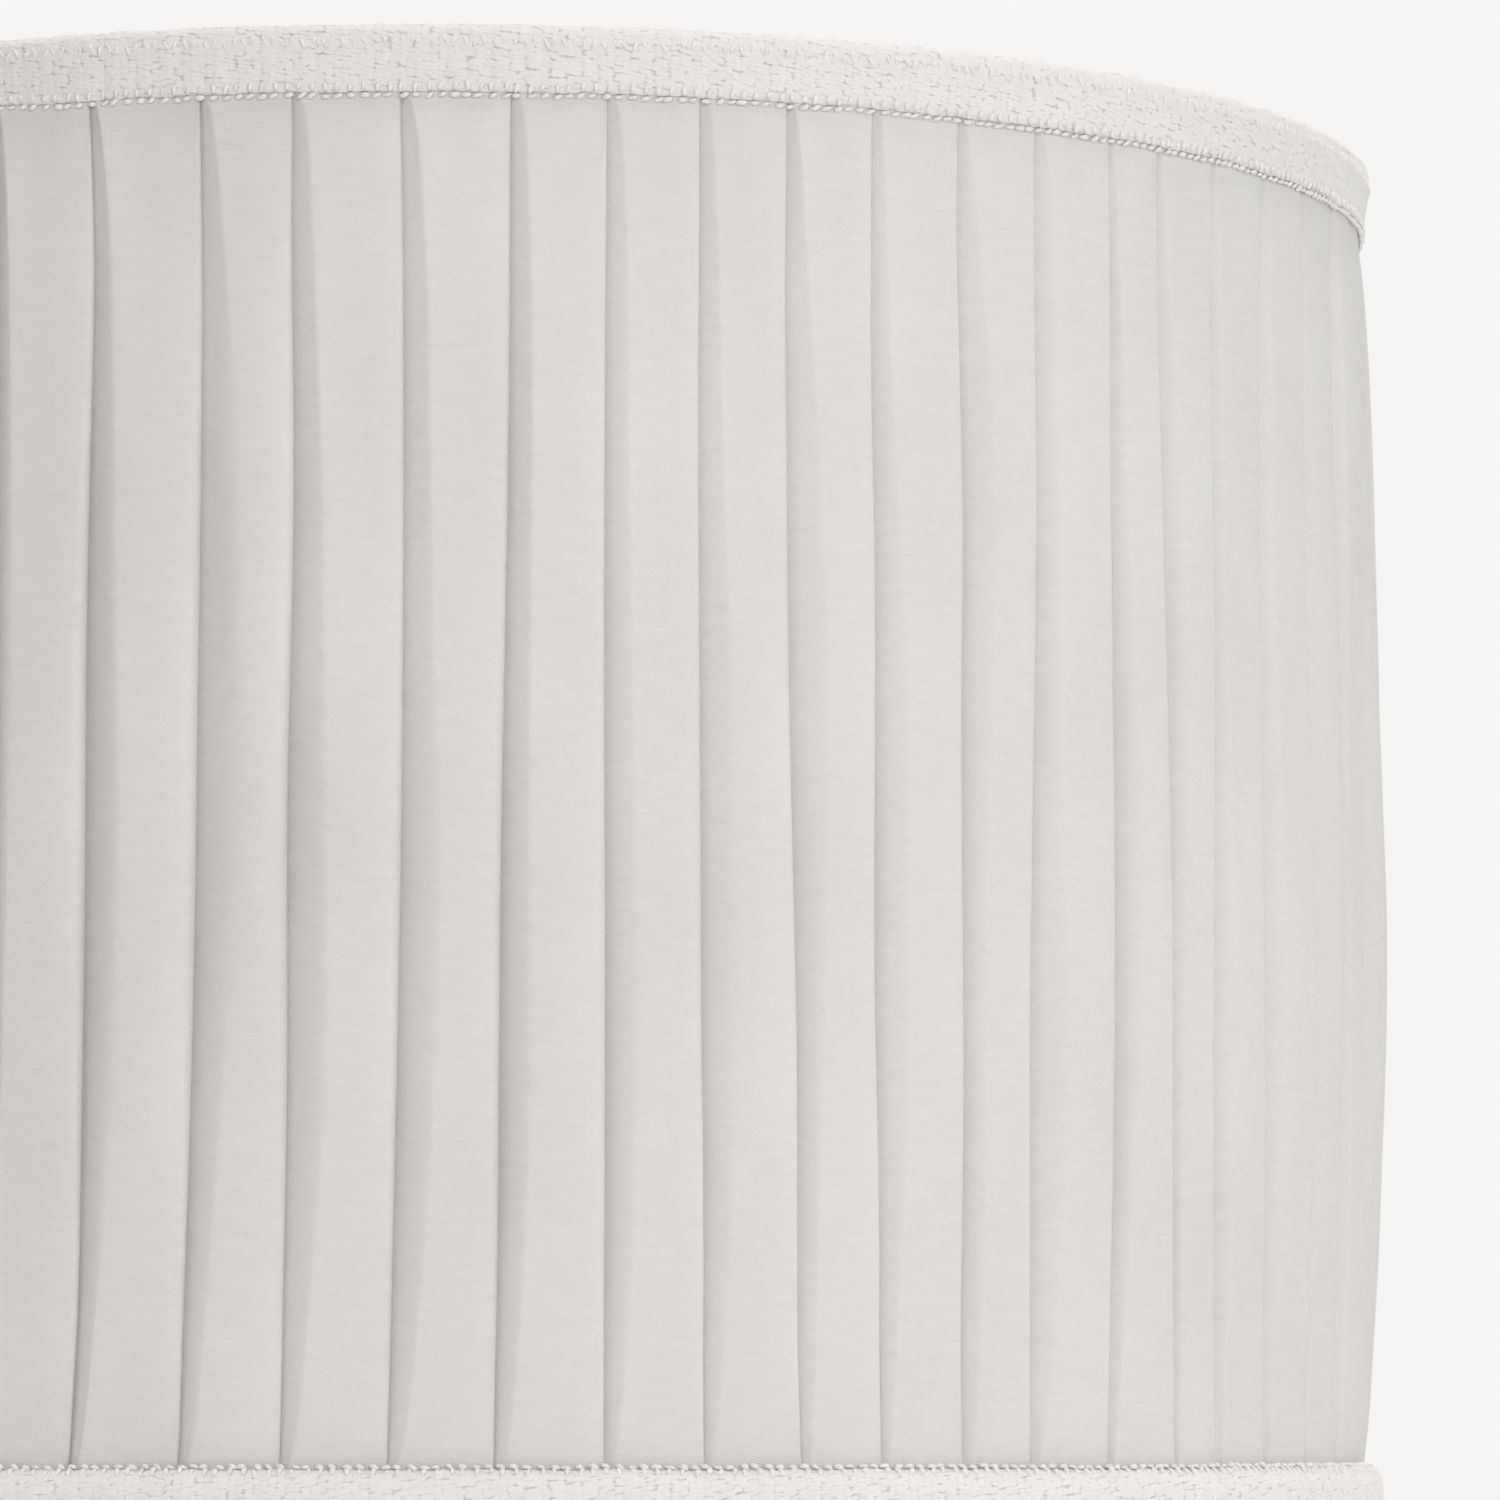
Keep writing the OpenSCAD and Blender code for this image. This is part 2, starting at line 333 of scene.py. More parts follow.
CLOTH = (0.815, 0.812, 0.795)
TAPE = (0.66, 0.656, 0.645)
LINING = (0.85, 0.835, 0.80)
BINDING = (0.74, 0.72, 0.67)
ENAMEL = (0.78, 0.78, 0.76)
PLASTIC = (0.84, 0.84, 0.82)
TWILL_PITCH = 0.40 * MM
TWILL_SLOPE = 0.42
LINING_PITCH = 0.34 * MM
BINDING_PITCH = 0.5 * MM
FLOAT_LENGTH = 1.15 * MM
FLOAT_PITCH = 0.62 * MM


def pleated_cloth():
    """Fine twill: shallow diagonal ribs, slubs along the thread, and a slow drift of tone."""
    n = Nodes("pleated_cloth", 0.82, Sheen_Weight=0.12, Sheen_Roughness=0.5,
              Specular_IOR_Level=0.28)
    uv, u, v = n.uv()
    across = n.math("MULTIPLY_ADD", u, TWILL_SLOPE, v)
    wobble = n.noise(uv, 260.0, 2.0)
    across = n.math("MULTIPLY_ADD", wobble, TWILL_PITCH * 0.9, across)
    rib = n.math("SINE", n.math("MULTIPLY", across, 2 * math.pi / TWILL_PITCH))
    weft = n.math("SINE", n.math("MULTIPLY", u, 2 * math.pi / (TWILL_PITCH * 0.62)))
    slub = n.noise(uv, 900.0, 3.0, 0.6, (0.25, 1.0, 1.0))
    height = n.math("MULTIPLY_ADD", weft, 0.25, rib)
    height = n.math("MULTIPLY_ADD", slub, 1.6, height)
    drift = n.noise(n.place(), 28.0, 3.0, 0.55)
    tone = n.ramp(drift, (0.25, tint(CLOTH, 0.975)), (0.75, tint(CLOTH, 1.02)))
    thread = n.ramp(slub, (0.3, (0.965, 0.962, 0.958)), (0.7, (1.0, 1.0, 1.0)))
    colour = n.mix(1.0, tone, thread, "MULTIPLY")
    puffs = n.noise(uv, 120.0, 2.0)
    normal = n.bump(puffs, 0.00015, 0.5)
    normal = n.bump(height, 0.000016, 1.0, normal)
    n.let_through(colour, normal, 0.36)
    return n.finish(colour, normal)


def trim_tape():
    """Woven tape: rows of short rounded yarn floats, with pinholes between some of them that sink into
    the bump and are painted darker as shade.
    """
    n = Nodes("trim_tape", 0.78, Sheen_Weight=0.15, Sheen_Roughness=0.45,
              Specular_IOR_Level=0.3)
    uv, u, v = n.uv()
    sway = n.noise(uv, 240.0, 2.0)
    v2 = n.math("MULTIPLY_ADD", sway, 0.0010, n.math("MULTIPLY_ADD", u, 0.12, v))
    across = n.math("MULTIPLY", v2, FLOAT_LENGTH / FLOAT_PITCH)
    place = n.add("ShaderNodeCombineXYZ", inputs={0: u, 1: across}).outputs[0]
    cell = n.add("ShaderNodeTexVoronoi", voronoi_dimensions="2D", inputs={
        "Vector": place, "Scale": 1 / FLOAT_LENGTH, "Randomness": 0.6}).outputs["Distance"]
    swell = n.ramp(cell, (0.0, (1, 1, 1)), (0.45, (0.75, 0.75, 0.75)), (0.8, (0.2, 0.2, 0.2)))
    patch = n.ramp(n.noise(uv, 620.0, 2.0), (0.42, (0, 0, 0)), (0.62, (1, 1, 1)))
    # Pinhole mask: it lowers the bump and also paints shade into the gaps between floats
    pinhole_shade = n.math("MULTIPLY", n.ramp(cell, (0.56, (0, 0, 0)), (0.74, (1, 1, 1))), patch)
    fuzz = n.noise(uv, 2600.0, 3.0, 0.7)
    height = n.math("MULTIPLY_ADD", fuzz, 0.3, n.math("SUBTRACT", swell, pinhole_shade))
    # Painted shade: the pinholes take a darker tint of the tape, standing in for the shade that falls
    # into them
    tone = n.mix(pinhole_shade, TAPE, tint(TAPE, 0.86))
    shade = n.ramp(n.noise(n.place(), 300.0, 3.0), (0.3, (0.965, 0.96, 0.955)), (0.7, (1, 1, 1)))
    colour = n.mix(1.0, tone, shade, "MULTIPLY")
    return n.finish(colour, n.bump(height, 0.00012, 1.0))


def selvedge_yarn():
    """The yarn of the stitches along the tapes' edges: bright, slightly glossy, twisted."""
    n = Nodes("selvedge_yarn", 0.6, Sheen_Weight=0.2, Sheen_Roughness=0.4,
              Specular_IOR_Level=0.4)
    at = n.place()
    strand = n.noise(at, 1500.0, 2.0, 0.6, (1.0, 1.0, 0.6))
    colour = n.ramp(strand, (0.3, tint(TAPE, 0.94)), (0.7, tint(TAPE, 1.08)))
    return n.finish(colour, n.bump(strand, 0.00006, 1.0))


def lining_cloth():
    """Smooth plain-weave lining with a faint sheen."""
    n = Nodes("lining_cloth", 0.62, Sheen_Weight=0.1, Specular_IOR_Level=0.35)
    uv, u, v = n.uv()
    step = 2 * math.pi / LINING_PITCH
    weave = n.math("MULTIPLY", n.math("SINE", n.math("MULTIPLY", u, step)),
                   n.math("SINE", n.math("MULTIPLY", v, step)))
    slub = n.noise(uv, 700.0, 3.0, 0.6, (0.2, 1.0, 1.0))
    tone = n.ramp(n.noise(n.place(), 22.0, 3.0), (0.3, tint(LINING, 0.965)),
                  (0.7, tint(LINING, 1.02)))
    thread = n.ramp(slub, (0.3, (0.965, 0.962, 0.955)), (0.7, (1, 1, 1)))
    colour = n.mix(1.0, tone, thread, "MULTIPLY")
    height = n.math("MULTIPLY_ADD", slub, 1.4, weave)
    normal = n.bump(height, 0.000016, 1.0)
    n.let_through(colour, normal, 0.28)
    return n.finish(colour, normal)


def binding_cotton():
    """Cotton tape wound round the rings: a plain weave that runs along the winding."""
    n = Nodes("binding_cotton", 0.9, Sheen_Weight=0.2, Specular_IOR_Level=0.2)
    _, u, v = n.uv()
    step = 2 * math.pi / BINDING_PITCH
    weave = n.math("MULTIPLY", n.math("SINE", n.math("MULTIPLY", u, step)),
                   n.math("SINE", n.math("MULTIPLY", v, step)))
    fuzz = n.noise(n.place(), 1800.0, 3.0, 0.7)
    height = n.math("MULTIPLY_ADD", fuzz, 1.2, weave)
    colour = n.ramp(fuzz, (0.3, tint(BINDING, 0.92)), (0.7, tint(BINDING, 1.04)))
    return n.finish(colour, n.bump(height, 0.00004, 1.0))


def enamel(name, base, wear):
    """White enamel on steel wire: slight orange peel, and grey rubbed through here and there."""
    n = Nodes(name, 0.34, Specular_IOR_Level=0.5, Coat_Weight=0.25, Coat_Roughness=0.2)
    at = n.place()
    peel = n.noise(at, 900.0, 2.0)
    worn = n.ramp(n.noise(at, 140.0, 5.0, 0.65), (0.66, (0, 0, 0)), (0.74, (1, 1, 1)))
    worn = n.math("MULTIPLY", worn, wear)
    grey = n.ramp(n.noise(at, 2200.0, 3.0), (0.3, (0.30, 0.29, 0.28)), (0.7, (0.42, 0.41, 0.40)))
    drift = n.ramp(n.noise(at, 60.0, 3.0), (0.3, tint(base, 0.96)), (0.7, tint(base, 1.03)))
    colour = n.mix(worn, drift, grey)
    rough = n.math("MULTIPLY_ADD", n.noise(at, 500.0, 3.0), 0.16, 0.26)
    return n.finish(colour, n.bump(peel, 0.00003, 0.8), rough)


def reducer_plastic():
    """Moulded white plastic: fine spark texture and a slight flow tone."""
    n = Nodes("reducer_plastic", 0.42, Specular_IOR_Level=0.5)
    at = n.place()
    grain = n.noise(at, 4200.0, 2.0, 0.6)
    flow = n.ramp(n.noise(at, 90.0, 3.0, 0.5, (1, 1, 3)), (0.3, tint(PLASTIC, 0.97)),
                  (0.7, tint(PLASTIC, 1.02)))
    rough = n.math("MULTIPLY_ADD", n.noise(at, 1200.0, 2.0), 0.15, 0.36)
    return n.finish(flow, n.bump(grain, 0.00002, 0.8), rough)


MATERIALS = {}


def material(make, *args):
    key = (make.__name__, *args)
    if key not in MATERIALS:
        MATERIALS[key] = make(*args)
    return MATERIALS[key]


def dress(obj, mat):
    obj.data.materials.clear()
    obj.data.materials.append(mat)


# ------------------------------------------------------------------ the pleated cover
def fold_lines(rng):
    """Direction of each fold at the three heights, PLEATS rows of three, in radians from the front."""
    shown = np.array(FRONT_FOLDS)
    rest = PLEATS - len(shown) + 1
    widths = 1 + rng.normal(0, 0.07, rest)
    gap = 2 * math.pi - (shown[-1] - shown[0])
    steps = np.cumsum(widths / widths.sum())[:-1, None] * gap[None, :]
    hidden = shown[-1] + steps
    hidden[:, 0] += rng.normal(0, 0.006, rest - 1)
    hidden[:, 2] += rng.normal(0, 0.005, rest - 1)
    return np.concatenate([shown, hidden])


def along_height(values, z):
    """Smooth line through three values at FOLD_Z, held level beyond them."""
    z = np.clip(z, FOLD_Z[0] - 8, FOLD_Z[2] + 8)
    z0, z1, z2 = FOLD_Z
    l0 = (z - z1) * (z - z2) / ((z0 - z1) * (z0 - z2))
    l1 = (z - z0) * (z - z2) / ((z1 - z0) * (z1 - z2))
    l2 = (z - z0) * (z - z1) / ((z2 - z0) * (z2 - z1))
    return values[0] * l0 + values[1] * l1 + values[2] * l2


def pleat_rows():
    """Heights of the cover's rows of points, closer together near the tapes, in mm."""
    ends = [3.2, 6.0, 8.6, 10.2, 11.2, 12.4, 13.8, 15.4, 17.2, 19.4, 22.0, 25.0, 28.5]
    upper = [SHADE_H / MM - 0.4 - z for z in ends][::-1]
    middle = list(np.linspace(ends[-1], upper[0], 38))[1:-1]
    return np.array(ends + middle + upper)


def height_share(z):
    """Where a height in mm lies between the tapes: 0 at the lower tape's edge, 1 at the upper's."""
    low_z, high_z = TRIM_HIGH / MM, TRIM_LOW / MM
    return np.clip((z - low_z) / (high_z - low_z), 0, 1)


def open_share(z):
    """How far the pleats stand open at a height in mm: 0 at the tapes, 1 at mid-height."""
    return math.sin(math.pi * height_share(z)) ** OPENING_POWER


def crown_radius(z):
    """Radius of the line that the pleats' crowns follow, in mm, at a height in mm."""
    low_z, high_z = TRIM_HIGH / MM, TRIM_LOW / MM
    t = height_share(z)
    level = CROWN_LOW_R + (CROWN_HIGH_R - CROWN_LOW_R) * t
    over_ring = smooth((z - high_z) / RING_RISE) + smooth((low_z - z) / RING_RISE)
    return level + CROWN_BULGE * np.sin(math.pi * t) + (CROWN_RING_R - level) * over_ring


BAND_STEPS = (0.3, 0.6, 0.8, 0.92, 1.0)
PANEL_STEPS = (0.035, 0.12, 0.38, 0.72, 1.0)
COLUMN_PLAN = {"under": 2, "band": len(BAND_STEPS), "panel": len(PANEL_STEPS), "fold": 8, "back": 2,
               "turn": 2}
COLUMNS = sum(COLUMN_PLAN.values())


def pleat_section(width, underlap, band, top, bottom, back, crown, lean_in, soft):
    """Points across one pleat, left to right, as (along, outward) in mm from its left fold."""
    r = (top - back) / 2
    points = []
    for t in np.linspace(0, 1, COLUMN_PLAN["under"] + 1)[1:]:
        points.append((-underlap + 0.6 + t * (underlap - 1.1), bottom))
    for t in BAND_STEPS:
        rise = (t - soft * t ** 5) / (1 - soft)
        points.append((-0.5 + t * (band + 0.5), bottom + (top - lean_in - bottom) * rise))
    start, stop = band, width - r
    for t in PANEL_STEPS:
        out = top - lean_in * (1 - t) + crown * math.sin(math.pi * t)
        points.append((start + t * (stop - start), out))
    for t in np.linspace(0, 1, COLUMN_PLAN["fold"] + 1)[1:]:
        a = math.pi / 2 - math.pi * t
        points.append((stop + r * math.cos(a), top - r + r * math.sin(a)))
    for t in np.linspace(0, 1, COLUMN_PLAN["back"] + 1)[1:]:
        points.append((stop - t * (underlap - r - 0.6), back))
    inner = (back - bottom) / 2
    for t in np.linspace(0, 1, COLUMN_PLAN["turn"] + 1)[1:]:
        a = math.pi / 2 + math.pi * t
        points.append((width - underlap + 0.6 + inner * math.cos(a) * 1.6,
                       bottom + inner + inner * math.sin(a)))
    return points


def pleat_habits(rng):
    """What sets each pleat apart from its neighbours, as random values drawn in a fixed order."""
    return {
        "open": np.clip(rng.normal(1.0, 0.14, PLEATS), 0.72, 1.3),
        "band": np.clip(rng.normal(1.0, 0.14, PLEATS), 0.7, 1.3),
        "crown": rng.normal(0.22, 0.10, PLEATS),
        "lean": np.clip(rng.normal(0.10, 0.10, PLEATS), 0.0, 0.35),
        "drop": rng.normal(0, 0.16, PLEATS),
        "peak": rng.normal(0, 1.68, PLEATS),
        "waver": [noise_line(rng, 5, 0.13, 240, 80) for _ in range(PLEATS)],
        "swell": [noise_line(rng, 5, 0.14, 170, 60) for _ in range(PLEATS)],
        "underlap": UNDERLAP + rng.normal(0, 0.25, PLEATS),
    }


def fold_angle(folds, habits, k, z):
    """Direction of fold k at a height in mm, with a slow waver that fades at the tapes."""
    t = height_share(z)
    turns, k = divmod(k, PLEATS)
    waver = habits["waver"][k](z) * smooth(6 * t) * smooth(6 * (1 - t)) / (SHADE_R / MM)
    return along_height(folds[k], z) + waver + 2 * math.pi * turns


def pleat_at(habits, k, z, width):
    """Points across pleat k at a height in mm, as pleat_section gives them."""
    skew = 1 + 0.22 * math.sin(2 * math.pi * height_share(z) + habits["peak"][k])
    opening = float(np.clip(open_share(z) * habits["open"][k] * skew, 0, 1.35))
    top = FLAT_DEPTH + OPEN_DEPTH * opening
    bottom = 0.15 + 0.1 * opening
    fold_r = FLAT_FOLD_R + OPEN_FOLD_R * opening
    return pleat_section(
        width=width,
        underlap=habits["underlap"][k],
        band=min(FLAT_BAND + OPEN_BAND * opening * habits["band"][k], width * 0.5),
        top=top + habits["drop"][k] * opening,
        bottom=bottom,
        back=max(top - 2 * fold_r, bottom + 0.2 + 0.15 * opening),
        crown=(habits["crown"][k] + habits["swell"][k](z)) * opening,
        lean_in=habits["lean"][k] * (0.4 + opening),
        soft=BAND_SOFTNESS * min(1.0, opening),
    )


def cover_points(rng, rows):
    """Rows of points round the whole cover, before its slow waves."""
    folds = fold_lines(rng)
    habits = pleat_habits(rng)
    points = np.zeros((len(rows), PLEATS * COLUMNS, 3))
    for j, z in enumerate(rows):
        radius = crown_radius(z)
        base = radius - (FLAT_DEPTH + OPEN_DEPTH * open_share(z))
        edges = [fold_angle(folds, habits, k, z) for k in range(PLEATS + 1)]
        for k in range(PLEATS):
            section = pleat_at(habits, k, z, (edges[k + 1] - edges[k]) * radius)
            for c, (along, outward) in enumerate(section):
                a = edges[k] + along / radius
                r = (base + outward) * MM
                points[j, k * COLUMNS + c] = (r * math.sin(a), -r * math.cos(a), z * MM)
    return points


def pleated_cover():
    rng = np.random.RandomState(SEED)
    rows = pleat_rows()
    points = cover_points(rng, rows)
    ring = points[len(rows) // 2]
    steps = np.linalg.norm(np.roll(ring, -1, 0) - ring, axis=1)
    flat_u = np.concatenate([[0], np.cumsum(steps)[:-1]])
    span = steps.sum()
    points = undulate(points, flat_u, rows, rng)
    faces = grid_faces(len(rows), PLEATS * COLUMNS)
    uvs = closed_uvs(faces, flat_u, rows * MM, span)
    obj = new_mesh("cover_cloth", points.reshape(-1, 3), faces, uvs)
    dress(obj, material(pleated_cloth))
    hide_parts("pleated_cover")


def undulate(points, flat_u, rows, rng):
    """Slow waves in the hanging cloth, and short puckers where the tapes gather it."""
    waves = noise_plane(rng, 26, 0.06, 70, 14, 0.4)
    fine = noise_plane(rng, 22, 0.02, 13, 6, 0.35)
    low_z, high_z = TRIM_HIGH / MM, TRIM_LOW / MM
    u = flat_u / MM
    pucker_low = noise_line(rng, 90, 0.11, 9, 3.2)(u)
    pucker_high = noise_line(rng, 90, 0.12, 9, 3.2)(u)
    for j, z in enumerate(rows):
        inside = smooth((z - low_z) / 8) * smooth((high_z - z) / 8)
        out = (waves(u, z) + fine(u, z)) * inside
        out = out + pucker_low * math.exp(-abs(z - low_z - 1.5) / 6.5) * (0.35 + 0.65 * inside)
        out = out + pucker_high * math.exp(-abs(high_z - z - 1.5) / 7.5) * (0.35 + 0.65 * inside)
        p = points[j]
        r = np.hypot(p[:, 0], p[:, 1])
        p[:, :2] *= (1 + out * MM / r)[:, None]
    return points


# ------------------------------------------------------------------ the tapes
def arc(centre, radius, a0, a1, steps):
    return [(centre[0] + radius * math.cos(math.radians(a0 + (a1 - a0) * i / steps)),
             centre[1] + radius * math.sin(math.radians(a0 + (a1 - a0) * i / steps)))
            for i in range(steps + 1)]


TAPE_COLUMNS = 2400
# Angle round a ring, in degrees, at which a tape ends on the inner side, clear of the arms
INNER_END = 180 - math.degrees(math.asin((ARM_R + 0.35 * MM) / LINING_R))


def upper_profile():
    """The upper tape's section from its lower edge over the rim, outer side then inner side."""
    h, r = SHADE_H, SHADE_R
    e = TRIM_LOW
    outer = [(r - 1.68 * MM, e + 0.95 * MM), (r - 1.36 * MM, e + 1.10 * MM),
             (r - 1.22 * MM, e + 1.5 * MM), (r - 1.05 * MM, e + 2.4 * MM),
             (r - 0.80 * MM, e + 4.2 * MM), (r - 0.50 * MM, e + 6.0 * MM),
             (r - 0.18 * MM, e + 7.8 * MM)]
    outer += arc((r - 1.5 * MM, h - 1.5 * MM), 1.5 * MM, 8, 90, 7)
    outer += arc((RING_R, TOP_Z), h - TOP_Z, 90, INNER_END, 7)[1:]
    inner = arc((RING_R, TOP_Z), LINING_R + 0.12 * MM, INNER_END, 90, 5)
    inner += arc((r - 1.7 * MM, h - 1.7 * MM), 0.9 * MM, 90, 0, 3)
    inner += [(r - 0.98 * MM, e + 5.0 * MM), (r - 1.85 * MM, e + 1.05 * MM)]
    return outer, inner


def lower_profile():
    """The lower tape's section from its upper edge under the rim, outer side then inner side."""
    r = LOWER_R
    e, f = TRIM_HIGH, FLOOR_Z
    outer = [(r - 2.35 * MM, e - 0.70 * MM), (r - 1.95 * MM, e - 0.72 * MM),
             (r - 1.5 * MM, e - 0.92 * MM), (r - 1.05 * MM, e - 1.35 * MM),
             (r - 0.65 * MM, e - 1.9 * MM), (r - 0.30 * MM, e - 2.7 * MM),
             (r - 0.05 * MM, e - 3.9 * MM), (r - 0.02 * MM, e - 6.0 * MM)]
    outer += arc((r - 1.5 * MM, f + 1.5 * MM), 1.5 * MM, 0, -90, 6)
    outer += arc((RING_R, BOTTOM_Z), BOTTOM_Z - f, -90, -INNER_END, 7)
    inner = arc((RING_R, BOTTOM_Z), LINING_R + 0.12 * MM, -INNER_END, -90, 5)
    inner += [(r - 1.8 * MM, f + 1.2 * MM), (r - 1.5 * MM, f + 3.5 * MM),
              (r - 1.9 * MM, e - 2.4 * MM), (r - 2.45 * MM, e - 0.95 * MM)]
    return outer, inner


def tape_points(rng, section, outer_n, edge):
    """Rows of points round a tape, its outer side slightly uneven and its visible edge wavy."""
    a = 2 * math.pi * np.arange(TAPE_COLUMNS) / TAPE_COLUMNS
    relief = np.array([periodic_noise(rng, 46, 0.055 * MM, 20, 420)(a) for _ in range(6)])
    normals = section_normals(section, outer_n)
    points = np.zeros((len(section), TAPE_COLUMNS, 3))
    for j, (r, z) in enumerate(section):
        outside = j < outer_n
        share = j / (outer_n - 1) if outside else (len(section) - 1 - j) / (len(section) - outer_n)
        place = share * (len(relief) - 1)
        below = min(int(place), len(relief) - 2)
        wave = relief[below] * (1 - place + below) + relief[below + 1] * (place - below)
        out = wave * min(1, 4 * (1 - share)) if outside else 0.0 * wave
        rr = r + normals[j][0] * out
        zz = z + normals[j][1] * out + edge * max(0.0, 1 - 3 * share)
        points[j] = np.stack([rr * np.sin(a), -rr * np.cos(a), np.maximum(zz, FLOOR_Z)], 1)
    return points


def tape(name, profile, node, seed, wobble):
    """A closed sheet turned round a rim. Returns it, its flat width and its edge's waves."""
    rng = np.random.RandomState(seed)
    outer, inner = profile
    section = np.array(outer + inner)
    a = 2 * math.pi * np.arange(TAPE_COLUMNS) / TAPE_COLUMNS
    short_waves = periodic_noise(rng, 60, 0.10 * MM, 4, 150)(a)
    long_waves = periodic_noise(rng, 16, 0.10 * MM, 1, 14)(a)
    edge = (short_waves + long_waves) * wobble
    points = tape_points(rng, section, len(outer), edge)
    faces = grid_faces(len(section), TAPE_COLUMNS, True, True)
    if node == "bottom_trim":
        faces = [f[::-1] for f in faces]
    steps = np.linalg.norm(np.diff(section, axis=0), axis=1)
    lengths = np.concatenate([[0], np.cumsum(steps)])
    whole = lengths[-1] + np.linalg.norm(section[0] - section[-1])
    uvs = closed_uvs(faces, a * RING_R, lengths, 2 * math.pi * RING_R, whole)
    obj = new_mesh(name, points.reshape(-1, 3), faces, uvs)
    dress(obj, material(trim_tape))
    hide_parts(node)
    return obj, lengths[len(outer) - 1], edge


def section_normals(section, outer_n):
    """Outward normals of the section's points, as (radial, up)."""
    tangent = np.gradient(section, axis=0)
    tangent /= np.maximum(np.linalg.norm(tangent, axis=1), 1e-9)[:, None]
    normals = np.stack([tangent[:, 1], -tangent[:, 0]], 1)
    centre = section[:outer_n].mean(0)
    flip = np.sum(normals * (section - centre), 1) < 0
    normals[flip] *= -1
    return normals


STITCH_POINTS = 7
STITCH_SIDES = 6
STITCH_TAPER = np.array([0.35, 0.78, 0.96, 1.0, 0.96, 0.78, 0.35])


def stitches(name, seed, count, rows, yarn, edge_dz):
    """Rows of short fat stitches round a tape, each a bowed yarn that lies on it.

    A row is (radius, height, outward direction, length, lean from upright, turn of every second
    one, scatter): the direction is (radial, up).
    """
    rng = np.random.RandomState(seed)
    t = np.linspace(-0.5, 0.5, STITCH_POINTS)
    points, faces = [], []
    total = 0
    for radius, height, outward, long, lean, turn, scatter in rows:
        normal = np.array(outward) / np.linalg.norm(outward)
        along = np.array([-normal[1], normal[0]])
        for i in range(count):
            a = 2 * math.pi * (i + rng.uniform(-0.16, 0.16)) / count
            way = (lean + rng.normal(0, 0.16)) * (turn if i % 2 else 1)
            size = long * rng.uniform(0.8, 1.15)
            thick = yarn * rng.uniform(0.8, 1.2)
            x = size * t * math.sin(way)
            y = size * t * math.cos(way) + rng.normal(0, scatter)
            lift = thick * (0.75 * np.cos(math.pi * t) - 0.25)
            k = int(i / count * len(edge_dz))
            rz = np.array([radius, height]) + along * y[:, None] + normal * lift[:, None]
            r, z = rz[:, 0], rz[:, 1] + edge_dz[k]
            aa = a + x / r
            path = np.stack([r * np.sin(aa), -r * np.cos(aa), z], 1)
            p, f = tube(path, thick * STITCH_TAPER, STITCH_SIDES, start=total)
            points.append(p)
            faces += f
            total += len(p)
    obj = new_mesh(name, np.concatenate(points), faces)
    dress(obj, material(selvedge_yarn))
    return obj


def tapes():
    upper, upper_w, edge = tape("tape_upper", upper_profile(), "top_trim", SEED + 1, 1.0)
    r, e = SHADE_R, TRIM_LOW
    lower_edge = stitches("tape_upper_edge_stitches", SEED + 2, 500, [
        (r - 1.52 * MM, e + 0.55 * MM, (1.0, -0.10), 1.45 * MM, 1.30, 1, 0.04 * MM),
        (r - 1.20 * MM, e + 1.75 * MM, (1.0, -0.10), 1.35 * MM, 0.12, 1, 0.10 * MM),
    ], 0.38 * MM, edge)
    crest = stitches("tape_upper_crest_stitches", SEED + 3, 640, [
        (r - 0.26 * MM, SHADE_H - 2.55 * MM, (1.0, 0.05), 1.6 * MM, 0.45, -1, 0.2 * MM),
    ], 0.29 * MM, np.zeros(8))
    lower, lower_w, edge = tape("tape_lower", lower_profile(), "bottom_trim", SEED + 4, 0.6)
    r, e = LOWER_R, TRIM_HIGH
    upper_edge = stitches("tape_lower_edge_stitches", SEED + 5, 500, [
        (r - 2.25 * MM, e - 0.40 * MM, (0.75, 0.66), 1.45 * MM, -1.30, 1, 0.04 * MM),
        (r - 1.45 * MM, e - 1.05 * MM, (0.75, 0.66), 1.35 * MM, 0.12, 1, 0.10 * MM),
    ], 0.38 * MM, edge)


